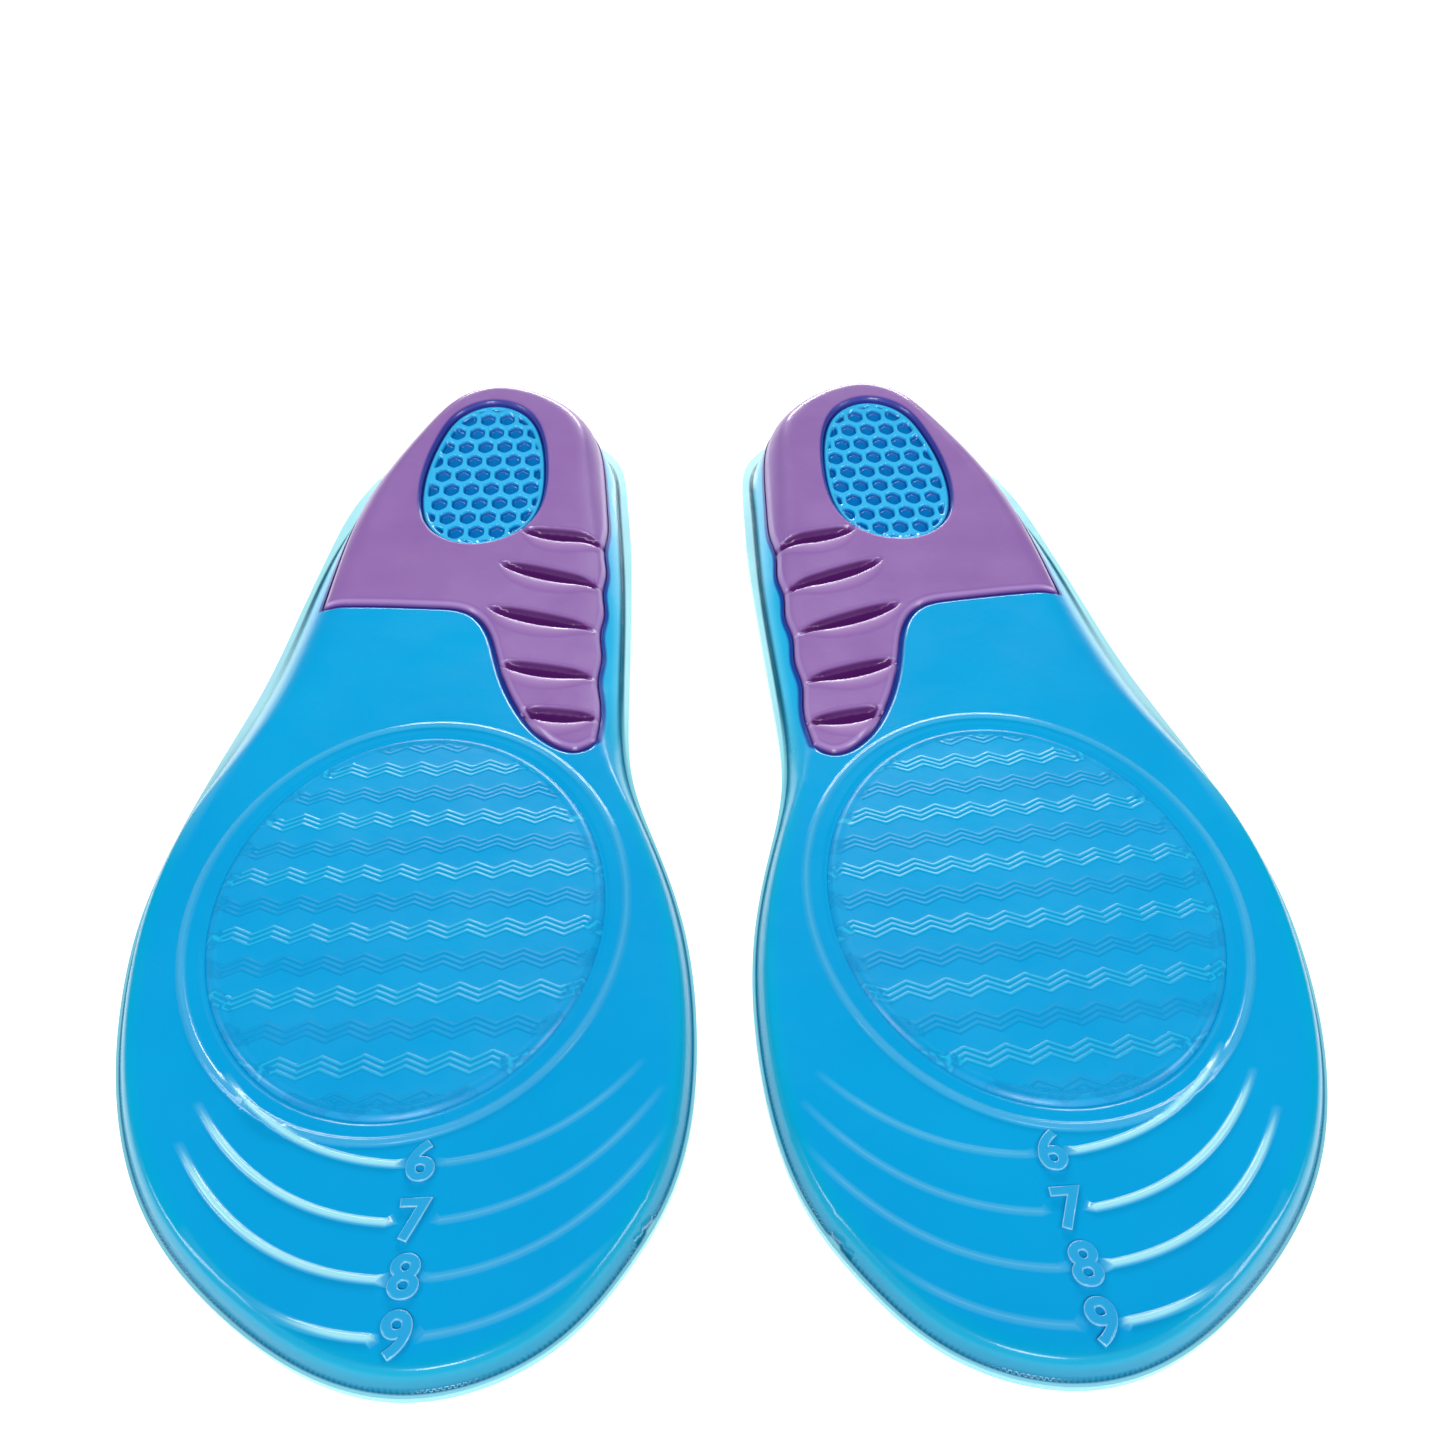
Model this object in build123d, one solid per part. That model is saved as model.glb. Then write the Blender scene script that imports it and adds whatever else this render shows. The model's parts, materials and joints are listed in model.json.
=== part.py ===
from build123d import *
import math
import os

# Pair of cushioned gel insoles, millimetres. Both lie foot side down, soles up.
# Pair frame: +X from the left insole to the right one, +Y from toes to heels, +Z up,
# origin at the middle of the pair, on the surface that it lies on.
# Insole frame (right foot): x towards the outer side of the foot, y = -station, where
# the station is the distance from the back of the heel, z up from the surface.

# ---- driving dimensions -------------------------------------------------------------
FORE_HEIGHT = 4.6             # height of the sole side at the forefoot
HEEL_RISE = 17.6              # extra height at the back of the heel
RISE_LENGTH = 62.0            # station where the rise has fallen to 37 %
RISE_POWER = 1.5

RIM_LIP = 2.2                 # thickness of the flat rim at the heel
HEEL_SHOULDER = 11.0          # plan width of the rounded wall inside the rim
FORE_LIP = 1.3                # thickness of the rim at the forefoot
FORE_SHOULDER = 3.0           # plan width of the rounding at the forefoot
SHOULDER_POWER = 2.2
EDGE_CHANGE = (110.0, 160.0)  # stations where the heel edge turns into the forefoot edge

COVER_THICKNESS = 0.8
CUP_DEPTH = 13.0              # depth of the heel hollow on the foot side
CUP_LENGTH = 52.0
CUP_POWER = 1.7
CUP_LIFT = 1.0                # start of the hollow's face under the cover's top
CUP_WALL = 2.0                # plan distance from the foot of the wall to the hollow
CUP_SHOULDER = 10.0
BLANK = (120.0, 280.0)        # sheet that the flat part of the cover is cut from
BLANK_MARGIN = 10.0

SHELL_THICKNESS = 1.8
SHELL_LOW = 1.8               # lowest level that the shell reaches on the walls
SHELL_PROUD = 0.3
CUSHION_DEPTH = 4.0           # bottom of the heel cushion under the sole surface
CUSHION_RECESS = 0.7
PAD_DEPTH = 2.2
PAD_PROUD = 0.3
PAD_CENTRE = (0.8, -178.5)
PAD_RADII = (34.4, 43.8)
PAD_TILT = -4.5

HEX_PITCH = 4.9               # spacing of the cells across the insole
HEX_ROW = 5.2                 # spacing of the rows along the insole
HEX_WALL = 1.0
HEX_DEPTH = 1.5
HEX_BORDER = 0.93             # the cells fill this share of the window
HEX_CENTRE = (0.0, -44.0)
HEX_REACH = (17.0, 28.0)      # no cells are needed further from the centre than this

FLUTE_WIDTH = 5.0             # five scooped flutes across the arch
FLUTE_DEPTH = 1.2

RIGHT_YAW = 4.7
LEFT_YAW = 2.44
RIGHT_HEEL = (37.7, 126.2)    # back of each heel, before the pair is centred
LEFT_HEEL = (-62.0, 124.2)

TALL = 40.0                   # taller than any part of an insole

RIM_OUTLINE = [
    (0, 0), (15.5, -4.3), (25, -14.8), (31, -27), (35, -42), (37.1, -61), (39.1, -88), (41.3, -115),
    (45.2, -138), (48.3, -160), (48.9, -178), (46.9, -195), (41.6, -215), (31.3, -235),
    (15.8, -250.5), (-9.6, -261.5), (-29.4, -255), (-38.4, -245), (-44.2, -235),
    (-48.7, -215), (-49.1, -203), (-47.7, -185), (-43.1, -165), (-38.2, -146),
    (-37.1, -122), (-37.2, -90), (-36.8, -60), (-35.6, -38), (-32, -17.5), (-20, -4.6),
]
# foot of the rounded wall, where the flat rim ends
WALL_OUTLINE = [
    (0, -2), (12.7, -7.7), (22.2, -21.9), (30.1, -40.6), (34.8, -61.3), (37.1, -88.2),
    (39.4, -115.4), (43.9, -138.3), (47.6, -160.1), (48.2, -178), (46.2, -194.8),
    (41, -214.7), (30.8, -234.5), (15.4, -249.9), (-9.5, -260.8), (-29.1, -254.4),
    (-37.8, -244.6), (-43.5, -234.8), (-48, -214.9), (-48.4, -203), (-47, -185.1),
    (-42.4, -165.2), (-37.1, -146.1), (-35.3, -122), (-35.2, -90), (-34.3, -62),
    (-33.2, -40.2), (-29.8, -19.8), (-18, -7.2),
]
WINDOW_OUTLINE = [
    (-1, -17.8), (6.8, -21.5), (11.6, -31), (14.2, -44), (14.2, -54), (10.8, -64.5),
    (3, -69.8), (-5, -69.2), (-12.5, -63), (-15.6, -53), (-15.8, -43), (-14.2, -31), (-9, -21),
]
# purple shell: round the heel from its outer corner to the tip, then back along the front
SHELL_BACK = [
    (32.6, -90.5), (32, -75), (30.6, -56), (27.4, -38), (20.4, -22), (11.3, -9.8), (0, -4.6),
    (-15.5, -8.6), (-26.6, -20.5), (-30.3, -38), (-31.2, -52), (-31.5, -63), (-31, -71),
    (-31.6, -79), (-31, -86.5), (-31.5, -94), (-30.8, -101.5), (-31.3, -109.5), (-30.7, -117.5),
    (-31.4, -124.5), (-31, -137),
]
SHELL_FRONT = [
    (-31, -137), (-27, -139.5), (-21, -136.5), (-15.5, -129), (-11.5, -120), (-8.3, -109),
    (-5.5, -100), (-1, -94.2), (8, -92), (20, -91), (32.6, -90.5),
]
# each flute: medial end and inner end
FLUTES = [
    ((-33, -70), (-11, -66)), ((-32, -86.5), (-6.5, -77.5)), ((-30.5, -101.5), (-5, -93)),
    ((-31, -117.5), (-9, -112)), ((-32, -130.5), (-14.5, -127.5)),
]
# stations and shares of the half width where the curved faces are carried by sections
STATIONS = [
    -12, -4, 0, 2, 4, 6.5, 9.5, 13, 18, 24, 32, 42, 54, 68, 84, 100, 116, 132, 148, 164,
    180, 196, 212, 226, 238, 247, 253, 257, 260, 262, 266,
]
SHARES = [0.0, 0.35, 0.55, 0.66, 0.74, 0.81, 0.87, 0.92, 0.96, 1.0, 1.05, 1.1]
EDGE_SAMPLES = 360
SPAN_STATIONS = (5.0, 252.0)  # outside these the section keeps the same width
SPAN_REACH = 3.0


def closed_spline(points):
    return Spline(*points, periodic=True)


def edge_points(edge):
    return [edge.position_at(i / EDGE_SAMPLES) for i in range(EDGE_SAMPLES)]


RIM_EDGE = closed_spline(RIM_OUTLINE)
RIM_POINTS = edge_points(RIM_EDGE)
WALL_POINTS = edge_points(closed_spline(WALL_OUTLINE))


def wall_distance(x, y):
    """Plan distance from the foot of the wall, positive inside it."""
    near = min(
        range(EDGE_SAMPLES),
        key=lambda i: (WALL_POINTS[i].X - x) ** 2 + (WALL_POINTS[i].Y - y) ** 2,
    )
    before = WALL_POINTS[near - 1]
    run = WALL_POINTS[(near + 1) % EDGE_SAMPLES] - before
    return (run.Y * (x - before.X) - run.X * (y - before.Y)) / run.length


def span(station):
    """Middle and half width of the rim at a station."""
    reach = min(max(station, SPAN_STATIONS[0]), SPAN_STATIONS[1])
    xs = [p.X for p in RIM_POINTS if abs(p.Y + reach) < SPAN_REACH]
    return (max(xs) + min(xs)) / 2, (max(xs) - min(xs)) / 2


def shoulder(distance, width):
    """Rounded step from 0 at the edge to 1 at width."""
    part = min(max(distance / width, 0.0), 1.0)
    return 1.0 - (1.0 - part) ** SHOULDER_POWER


def edge_change(station):
    """0 where the heel edge shape holds, 1 where the forefoot edge shape holds."""
    low, high = EDGE_CHANGE
    part = min(max((station - low) / (high - low), 0.0), 1.0)
    return part * part * (3.0 - 2.0 * part)


def sole_height(distance, station):
    """Height of the sole side at a plan distance inside the foot of the wall."""
    fore = edge_change(station)
    lip = RIM_LIP + fore * (FORE_LIP - RIM_LIP)
    width = HEEL_SHOULDER + fore * (FORE_SHOULDER - HEEL_SHOULDER)
    rise = HEEL_RISE * math.exp(-((max(station, 0.0) / RISE_LENGTH) ** RISE_POWER))
    return lip + (FORE_HEIGHT + rise - lip) * shoulder(distance, width)


def cup_height(distance, station):
    """Height of the gel over the heel hollow; under the cover's top outside the hollow."""
    depth = CUP_DEPTH * math.exp(-((max(station, 0.0) / CUP_LENGTH) ** CUP_POWER))
    start = COVER_THICKNESS - CUP_LIFT
    return start + (depth + CUP_LIFT) * shoulder(distance - CUP_WALL, CUP_SHOULDER)


def section(station, height, sink):
    """Upright section of a solid whose top follows height(distance, station) - sink."""
    middle, half = span(station)
    shares = [-share for share in reversed(SHARES[1:])] + SHARES
    top = []
    for share in shares:
        x = middle + half * share
        top.append((x, -station, height(wall_distance(x, -station) - sink, station) - sink))
    left, right = top[0][0], top[-1][0]
    feet = Polyline(top[-1], (right, -station, -TALL), (left, -station, -TALL), top[0])
    return Wire([Spline(*top), *feet.edges()])


def under(height, sink=0.0):
    """Solid under a curved face, moved in by sink where sink is positive."""
    return Part() + Solid.make_loft([section(s, height, sink) for s in STATIONS], True)


def column(edges, low=0.0):
    """Upright prism over a closed plan outline."""
    return extrude(Plane.XY.offset(low) * make_face(edges), TALL)


def window_column(share=1.0):
    """Window of the heel cushion, drawn in towards its centre by a share."""
    cx, cy = HEX_CENTRE
    points = [(cx + share * (x - cx), cy + share * (y - cy)) for x, y in WINDOW_OUTLINE]
    return column(closed_spline(points))


def pad_column():
    return column(Pos(*PAD_CENTRE) * Rot(0, 0, PAD_TILT) * Edge.make_ellipse(*PAD_RADII))


def hex_cell(x, y):
    """Upright six-sided prism, stretched along the insole."""
    radius = (HEX_PITCH - HEX_WALL) / math.sqrt(3)
    stretch = HEX_ROW / (HEX_PITCH * math.sqrt(3) / 2)
    corners = []
    for corner in range(6):
        angle = math.radians(30 + 60 * corner)
        corners.append((x + radius * math.cos(angle), y + stretch * radius * math.sin(angle)))
    return column(Polyline(*corners, close=True))


def hex_cells():
    """Cells of the heel cushion, cut to a border inside the window."""
    cells = Part()
    rows = int(HEX_REACH[1] / HEX_ROW)
    places = int(HEX_REACH[0] / HEX_PITCH) + 1
    for row in range(-rows, rows + 1):
        for place in range(-places, places + 1):
            x = HEX_PITCH * (place + 0.5 * (row % 2))
            y = HEX_ROW * row
            if math.hypot(x / HEX_REACH[0], y / HEX_REACH[1]) < 1.0:
                cells += hex_cell(HEX_CENTRE[0] + x, HEX_CENTRE[1] + y)
    floor = under(sole_height, CUSHION_RECESS + HEX_DEPTH)
    return (cells & window_column(HEX_BORDER)) - floor


def flute(outer, inner):
    """Long scoop that dips into the shell and runs out at both ends."""
    run = Vector(*inner) - Vector(*outer)
    middle = (Vector(*inner) + Vector(*outer)) / 2
    level = sole_height(wall_distance(middle.X, middle.Y), -middle.Y)
    turn = math.degrees(math.atan2(run.Y, run.X))
    scoop = scale(Sphere(1), by=(run.length / 2, FLUTE_WIDTH / 2, FLUTE_DEPTH))
    return Pos(middle.X, middle.Y, level + SHELL_PROUD) * Rot(0, 0, turn) * scoop


def right_pieces():
    """All pieces of the right insole, in the insole frame."""
    body = column(RIM_EDGE) & under(sole_height)
    corner = (Align.CENTER, Align.MAX, Align.MIN)
    slab = Pos(0, BLANK_MARGIN) * Box(*BLANK, COVER_THICKNESS, align=corner)
    cup = under(cup_height)
    cover = (body & (slab + cup)) - under(cup_height, COVER_THICKNESS)
    shell_column = column([Spline(*SHELL_BACK), Spline(*SHELL_FRONT)], SHELL_LOW)
    shell_room = shell_column - under(sole_height, SHELL_THICKNESS)
    cushion_room = window_column() - under(sole_height, CUSHION_DEPTH)
    pad_room = pad_column() - under(sole_height, PAD_DEPTH)
    gel = body - slab - cup - shell_room - cushion_room - pad_room
    shell = (shell_room - window_column()) & under(sole_height, -SHELL_PROUD)
    for outer, inner in FLUTES:
        shell -= flute(outer, inner)
    cushion = (cushion_room & under(sole_height, CUSHION_RECESS)) - hex_cells()
    pad = pad_room & under(sole_height, -PAD_PROUD)
    return {
        "gel_base": gel,
        "arch_support": shell,
        "heel_cushion": cushion,
        "ball_cushion": pad,
        "top_cover": cover,
    }


def placed_pair(pieces):
    """Both insoles in the pair frame, the left one mirrored."""
    right_place = Pos(*RIGHT_HEEL) * Rot(0, 0, RIGHT_YAW)
    left_place = Pos(*LEFT_HEEL) * Rot(0, 0, LEFT_YAW)
    pair = {}
    for name, shape in pieces.items():
        pair["right_" + name] = right_place * shape
        pair["left_" + name] = left_place * mirror(shape, about=Plane.YZ)
    boxes = [shape.bounding_box() for shape in pair.values()]
    middle_x = (min(b.min.X for b in boxes) + max(b.max.X for b in boxes)) / 2
    middle_y = (min(b.min.Y for b in boxes) + max(b.max.Y for b in boxes)) / 2
    return {name: Pos(-middle_x, -middle_y) * shape for name, shape in pair.items()}


os.makedirs("parts", exist_ok=True)
for node, shape in placed_pair(right_pieces()).items():
    export_step(shape, f"parts/{node}.step")
    print(node, len(shape.solids()), round(shape.volume), shape.is_valid, shape.bounding_box())
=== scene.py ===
import json
import math
import bpy
import numpy as np
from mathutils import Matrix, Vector
from mathutils.geometry import delaunay_2d_cdt

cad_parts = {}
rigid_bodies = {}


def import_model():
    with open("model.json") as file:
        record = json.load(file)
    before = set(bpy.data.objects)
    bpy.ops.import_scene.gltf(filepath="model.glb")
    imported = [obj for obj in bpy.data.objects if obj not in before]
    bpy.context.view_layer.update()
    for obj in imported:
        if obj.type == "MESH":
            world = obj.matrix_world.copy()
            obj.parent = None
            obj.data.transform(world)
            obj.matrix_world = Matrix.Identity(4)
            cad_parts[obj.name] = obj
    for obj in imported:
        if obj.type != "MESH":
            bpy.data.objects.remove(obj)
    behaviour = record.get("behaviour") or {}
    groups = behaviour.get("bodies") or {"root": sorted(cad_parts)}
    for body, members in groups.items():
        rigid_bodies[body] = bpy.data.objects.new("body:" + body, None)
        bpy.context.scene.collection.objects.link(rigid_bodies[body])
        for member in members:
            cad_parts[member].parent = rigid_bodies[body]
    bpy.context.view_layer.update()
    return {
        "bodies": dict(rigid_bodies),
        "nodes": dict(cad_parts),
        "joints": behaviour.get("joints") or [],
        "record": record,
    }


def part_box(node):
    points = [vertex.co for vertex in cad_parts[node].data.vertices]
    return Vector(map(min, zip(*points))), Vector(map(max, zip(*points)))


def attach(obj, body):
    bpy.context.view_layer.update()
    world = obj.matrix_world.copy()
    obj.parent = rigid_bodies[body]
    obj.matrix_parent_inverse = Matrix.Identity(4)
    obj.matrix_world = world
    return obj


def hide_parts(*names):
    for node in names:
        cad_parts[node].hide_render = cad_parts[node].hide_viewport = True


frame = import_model()

# Insole frame (right foot), in millimetres: x towards the outer side of the foot,
# y = -station, where the station is the distance from the back of the heel, z up.
MM = 0.001
SIDES = {"right": 1.0, "left": -1.0}      # the left insole is the mirrored shape
YAW = {"right": 4.7, "left": 2.44}        # degrees that each insole is turned by

# ---- body of the insole -------------------------------------------------------------
FORE_HEIGHT = 4.6                         # height of the sole side at the forefoot
HEEL_RISE = 17.6                          # how much higher it is at the back of the heel
RISE_LENGTH = 62.0                        # length over which the rise falls away
RISE_POWER = 1.5
RIM_LIP = 2.2                             # height of the flange round the heel
HEEL_SHOULDER = 11.0                      # width of the rounded wall round the heel
FORE_LIP = 1.3                            # the same two at the forefoot
FORE_SHOULDER = 2.2
SHOULDER_POWER = 2.2                      # fullness of the rounded wall
EDGE_CHANGE = (110.0, 160.0)              # stations where the heel's edge turns into the toe's
COVER_THICKNESS = 0.8
CUP_DEPTH = 13.0                          # depth of the heel hollow on the foot side
CUP_LENGTH = 52.0
CUP_POWER = 1.7
CUP_LIFT = 1.0                            # how far below the cover the cup's curve starts
CUP_WALL = 2.0                            # from the foot of the outer wall to the cup's edge
CUP_SHOULDER = 10.0                       # width of the cup's rounded side
CUP_REACH = 110.0                         # station past which the cup is almost flat
COVER_INSET = 0.6                         # the gel wraps round the edge of the cover
FLOAT = 0.03                              # air between pieces that lie on each other

# ---- arch shell -----------------------------------------------------------------------
SHELL_THICKNESS = 1.8
SHELL_LOW = 1.8                           # lowest underside of the shell, near its edge
SHELL_PROUD = 0.5                         # how far the shell stands above the gel
WINDOW_ROUNDING = 0.9                     # width and drop of its edge at the window
WINDOW_DROP = 0.9
SHELL_ROUNDING = 1.6                      # width and drop of its outer edge
SHELL_DROP = 1.1
SEAM_DEPTH = 0.8
SEAM_WIDTH = 1.3
FLUTE_DEPTH = 1.75
FLUTE_HALF_WIDTH = 2.8
FLUTE_LIP = 0.35                          # height of the raised edge on a flute's toe side

# ---- heel cushion ---------------------------------------------------------------------
CUSHION_DEPTH = 4.0
CUSHION_RECESS = 0.7                      # how far the honeycomb lies below the gel
HEX_PITCH = 4.9
HEX_ROW = 5.2
HEX_WALL = 0.75
HEX_DEPTH = 1.5
HEX_BORDER = 1.3                          # plain border round the cells
HEX_CENTRE = (0.0, -44.0)

# ---- ball pad -------------------------------------------------------------------------
PAD_CENTRE = (0.8, -178.5)
PAD_RADII = (34.4, 43.8)
RING_RADII = (38.2, 47.4)
PAD_TILT = -4.5                           # degrees
PAD_DEPTH = 2.2
PAD_PROUD = 0.2                           # how far the pad stands above the gel
PAD_ROUNDING = 1.2                        # width and drop of the pad's edge
PAD_DROP = 0.7
BEAD_HEIGHT = 0.08                        # bead just inside the pad's edge
BEAD_PLACE = 1.3
BEAD_WIDTH = 0.8
RIB_START = 1.8                           # where the ribs begin, in from the pad's edge
RING_HEIGHT = 0.45
RING_WIDTH = 1.0
RIB_ROWS = 13
RIB_SPACING = 6.8
RIB_PERIOD = 6.7
RIB_SWING = 0.85                          # half the height of the zigzag
RIB_CRESTS = (-1.15, 0.0, 1.15)           # three crests along each rib
RIB_HALF_WIDTH = 0.55
RIB_HEIGHT = 0.12
RIB_FAINT = 0.6                           # height share of every second rib

# ---- toe trim lines -------------------------------------------------------------------
TRIM_STATIONS = (229.8, 238.9, 247.2, 255.1)
TRIM_SIZES = ("6", "7", "8", "9")
TRIM_MIDDLE = -8.0                        # x of the gap where the numbers stand
TRIM_GAP = 3.8                            # half the gap
TRIM_REACH = (33.0, 36.0, 37.0, 33.0)
TRIM_BEND = 0.0125                        # curve of a trim line, per square millimetre across
TRIM_TURN = 3.2e-6                        # its extra curve near the ends, by the fourth power
TRIM_HEIGHT = 0.45
TRIM_HALF_WIDTH = 0.8
TRIM_TAPER = 9.0                          # length over which its outer end runs out
TRIM_FAINT = 0.36                         # height share of the halves on the inner side
DIGIT_SIZE = 8.6
DIGIT_RAISE = 0.3
DIGIT_ROUNDING = 0.32
DIGIT_BOLD = 0.02
DIGIT_FACE_HIGHLIGHT = 0.12                         # how strong the painted highlight is on the face and the sides of a digit
DIGIT_SIDE_HIGHLIGHT = 0.55

# Plan outlines, and the two ends of each flute from the inner edge of the arch inwards.
RIM_OUTLINE = [
    (0, 0), (15.5, -4.3), (25, -14.8), (31, -27), (35, -42), (37.1, -61), (39.1, -88),
    (41.3, -115), (45.2, -138), (48.3, -160), (48.9, -178), (46.9, -195), (41.6, -215),
    (31.3, -235),
    (15.8, -250.5), (-9.6, -261.5), (-29.4, -255), (-38.4, -245), (-44.2, -235),
    (-48.7, -215), (-49.1, -203), (-47.7, -185), (-43.1, -165), (-38.2, -146),
    (-37.1, -122), (-37.2, -90), (-36.8, -60), (-35.6, -38), (-32, -17.5), (-20, -4.6),
]
WALL_OUTLINE = [                          # foot of the rounded wall, inside the flat rim
    (0, -2), (12.7, -7.7), (22.2, -21.9), (30.1, -40.6), (34.8, -61.3), (37.1, -88.2),
    (39.4, -115.4), (43.9, -138.3), (47.6, -160.1), (48.2, -178), (46.2, -194.8),
    (41, -214.7), (30.8, -234.5), (15.4, -249.9), (-9.5, -260.8), (-29.1, -254.4),
    (-37.8, -244.6), (-43.5, -234.8), (-48, -214.9), (-48.4, -203), (-47, -185.1),
    (-42.4, -165.2), (-37.1, -146.1), (-35.3, -122), (-35.2, -90), (-34.3, -62),
    (-33.2, -40.2), (-29.8, -19.8), (-18, -7.2),
]
WINDOW_OUTLINE = [
    (-1, -17.8), (6.8, -21.5), (11.6, -31), (14.2, -44), (14.2, -54), (10.8, -64.5),
    (3, -69.8), (-5, -69.2), (-12.5, -63), (-15.6, -53), (-15.8, -43), (-14.2, -31), (-9, -21),
]
SHELL_BACK = [
    (32.6, -90.5), (32, -75), (30.6, -56), (27.4, -38), (20.4, -22), (11.3, -9.8), (0, -4.6),
    (-15.5, -8.6), (-26.6, -20.5), (-30.3, -38), (-31.2, -52), (-31.5, -63), (-31, -71),
    (-31.6, -79), (-31, -86.5), (-31.5, -94), (-30.8, -101.5), (-31.3, -109.5), (-30.7, -117.5),
    (-31.4, -124.5), (-31, -137),
]
SHELL_FRONT = [
    (-31, -137), (-27, -139.5), (-21, -136.5), (-15.5, -129), (-11.5, -120), (-8.3, -109),
    (-5.5, -100), (-1, -94.2), (8, -92), (20, -91), (32.6, -90.5),
]
FLUTES = [
    ((-33, -70), (-11, -66)), ((-32, -86.5), (-6.5, -77.5)), ((-30.5, -101.5), (-5, -93)),
    ((-31, -117.5), (-9, -112)), ((-32, -130.5), (-14.5, -127.5)),
]


# ---- plan curves ------------------------------------------------------------------------
def smooth_curve(points, closed, spacing):
    """Smooth curve through points, as points about spacing apart."""
    p = np.array(points, float)
    n = len(p)
    following = np.roll(p, -1, 0)
    chord = np.linalg.norm(following - p, axis=1)
    system = np.zeros((n, n))
    right = np.zeros((n, 2))
    for i in range(n):
        before, after = chord[i - 1], chord[i]
        if not closed and i in (0, n - 1):
            other, gap = (1, after) if i == 0 else (n - 2, before)
            system[i, i] = 2.0
            system[i, other] = 1.0
            right[i] = 3.0 * (p[max(i, other)] - p[min(i, other)]) / gap
            continue
        system[i, i - 1] = after
        system[i, i] = 2.0 * (before + after)
        system[i, (i + 1) % n] = before
        right[i] = 3.0 * (
            after * (p[i] - p[i - 1]) / before + before * (following[i] - p[i]) / after
        )
    tangent = np.linalg.solve(system, right)
    dense = []
    for i in range(n if closed else n - 1):
        j = (i + 1) % n
        t = np.linspace(0.0, 1.0, 24, endpoint=False)[:, None]
        dense.append(
            (2 * t**3 - 3 * t**2 + 1) * p[i] + (t**3 - 2 * t**2 + t) * chord[i] * tangent[i]
            + (3 * t**2 - 2 * t**3) * p[j] + (t**3 - t**2) * chord[i] * tangent[j]
        )
    dense.append(p[:1] if closed else p[-1:])
    return resampled(np.concatenate(dense), spacing, closed)


def resampled(line, spacing, closed):
    """The line with its points evenly spaced."""
    along = np.concatenate([[0.0], np.cumsum(np.linalg.norm(np.diff(line, axis=0), axis=1))])
    count = max(3, int(round(along[-1] / spacing)))
    at = np.linspace(0.0, along[-1], count, endpoint=not closed)
    return np.stack([np.interp(at, along, line[:, k]) for k in range(2)], axis=1)


def ellipse(centre, radii, tilt, spacing):
    """Closed line round an ellipse."""
    angle = np.linspace(0.0, 2.0 * math.pi, 721)
    turn = math.radians(tilt)
    x, y = radii[0] * np.cos(angle), radii[1] * np.sin(angle)
    line = np.stack(
        [centre[0] + x * math.cos(turn) - y * math.sin(turn),
         centre[1] + x * math.sin(turn) + y * math.cos(turn)], axis=1)
    return resampled(line, spacing, True)


def beside(line, offset, closed=True):
    """The line moved sideways, to its right as it runs."""
    if closed:
        run = np.roll(line, -1, 0) - np.roll(line, 1, 0)
    else:
        run = np.gradient(line, axis=0)
    run /= np.linalg.norm(run, axis=1)[:, None]
    return line + offset * np.stack([run[:, 1], -run[:, 0]], axis=1)


def nearest(points, line, closed=True):
    """Distance of each point from a finely stepped line, its side, and the nearest step."""
    found, side = np.empty(len(points)), np.empty(len(points))
    step = np.empty(len(points), int)
    run = np.roll(line, -1, 0) - np.roll(line, 1, 0) if closed else np.gradient(line, axis=0)
    out = np.stack([run[:, 1], -run[:, 0]], axis=1)
    last = len(line) - 1
    for first in range(0, len(points), 8192):
        p = points[first:first + 8192]
        i = ((line**2).sum(1)[None] - 2.0 * (p @ line.T)).argmin(1)
        best = np.full(len(p), np.inf)
        for a, b in ((i - 1, i), (i, i + 1)):
            if closed:
                a, b = a % (last + 1), b % (last + 1)
            else:
                a, b = np.clip(a, 0, last), np.clip(b, 0, last)
            edge = line[b] - line[a]
            share = ((p - line[a]) * edge).sum(1) / np.maximum((edge**2).sum(1), 1e-12)
            gap = p - line[a] - np.clip(share, 0.0, 1.0)[:, None] * edge
            best = np.minimum(best, (gap**2).sum(1))
        found[first:first + 8192] = np.sqrt(best)
        side[first:first + 8192] = ((p - line[i]) * out[i]).sum(1)
        step[first:first + 8192] = i
    return found, side, step


def distance_to(points, line, closed=True):
    """Distance of each point from a line."""
    return nearest(points, line, closed)[0]


def turning(loop):
    """1 where the outside of a closed line is on its right as it runs, else -1."""
    x, y = loop[:, 0], loop[:, 1]
    return 1.0 if (x * np.roll(y, -1) - np.roll(x, -1) * y).sum() > 0.0 else -1.0


def depth_in(points, loop):
    """Distance from a closed line, positive inside it and negative outside."""
    found, side, _ = nearest(points, loop)
    return found * np.where(side * turning(loop) > 0.0, -1.0, 1.0)


def inset(loop, offset):
    """The closed line moved in by an offset, out where the offset is negative."""
    return beside(loop, -offset * turning(loop))


RIM = smooth_curve(RIM_OUTLINE, True, 0.9)
WALL = smooth_curve(WALL_OUTLINE, True, 0.9)
WINDOW = smooth_curve(WINDOW_OUTLINE, True, 0.5)
SHELL = np.concatenate([
    smooth_curve(SHELL_BACK, False, 0.8)[:-1], smooth_curve(SHELL_FRONT, False, 0.6)[:-1]])
PAD = ellipse(PAD_CENTRE, PAD_RADII, PAD_TILT, 0.8)
RING = ellipse(PAD_CENTRE, RING_RADII, PAD_TILT, 0.8)


def trim_lines():
    """The two halves of each toe trim line, from the middle outwards."""
    lines = []
    for station, reach in zip(TRIM_STATIONS, TRIM_REACH):
        across = np.arange(TRIM_GAP, reach, 0.5)
        drop = TRIM_BEND * across**2 + TRIM_TURN * across**4
        for way in (1.0, -1.0):
            lines.append(np.stack([TRIM_MIDDLE + way * across, drop - station], axis=1))
    return lines


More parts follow.
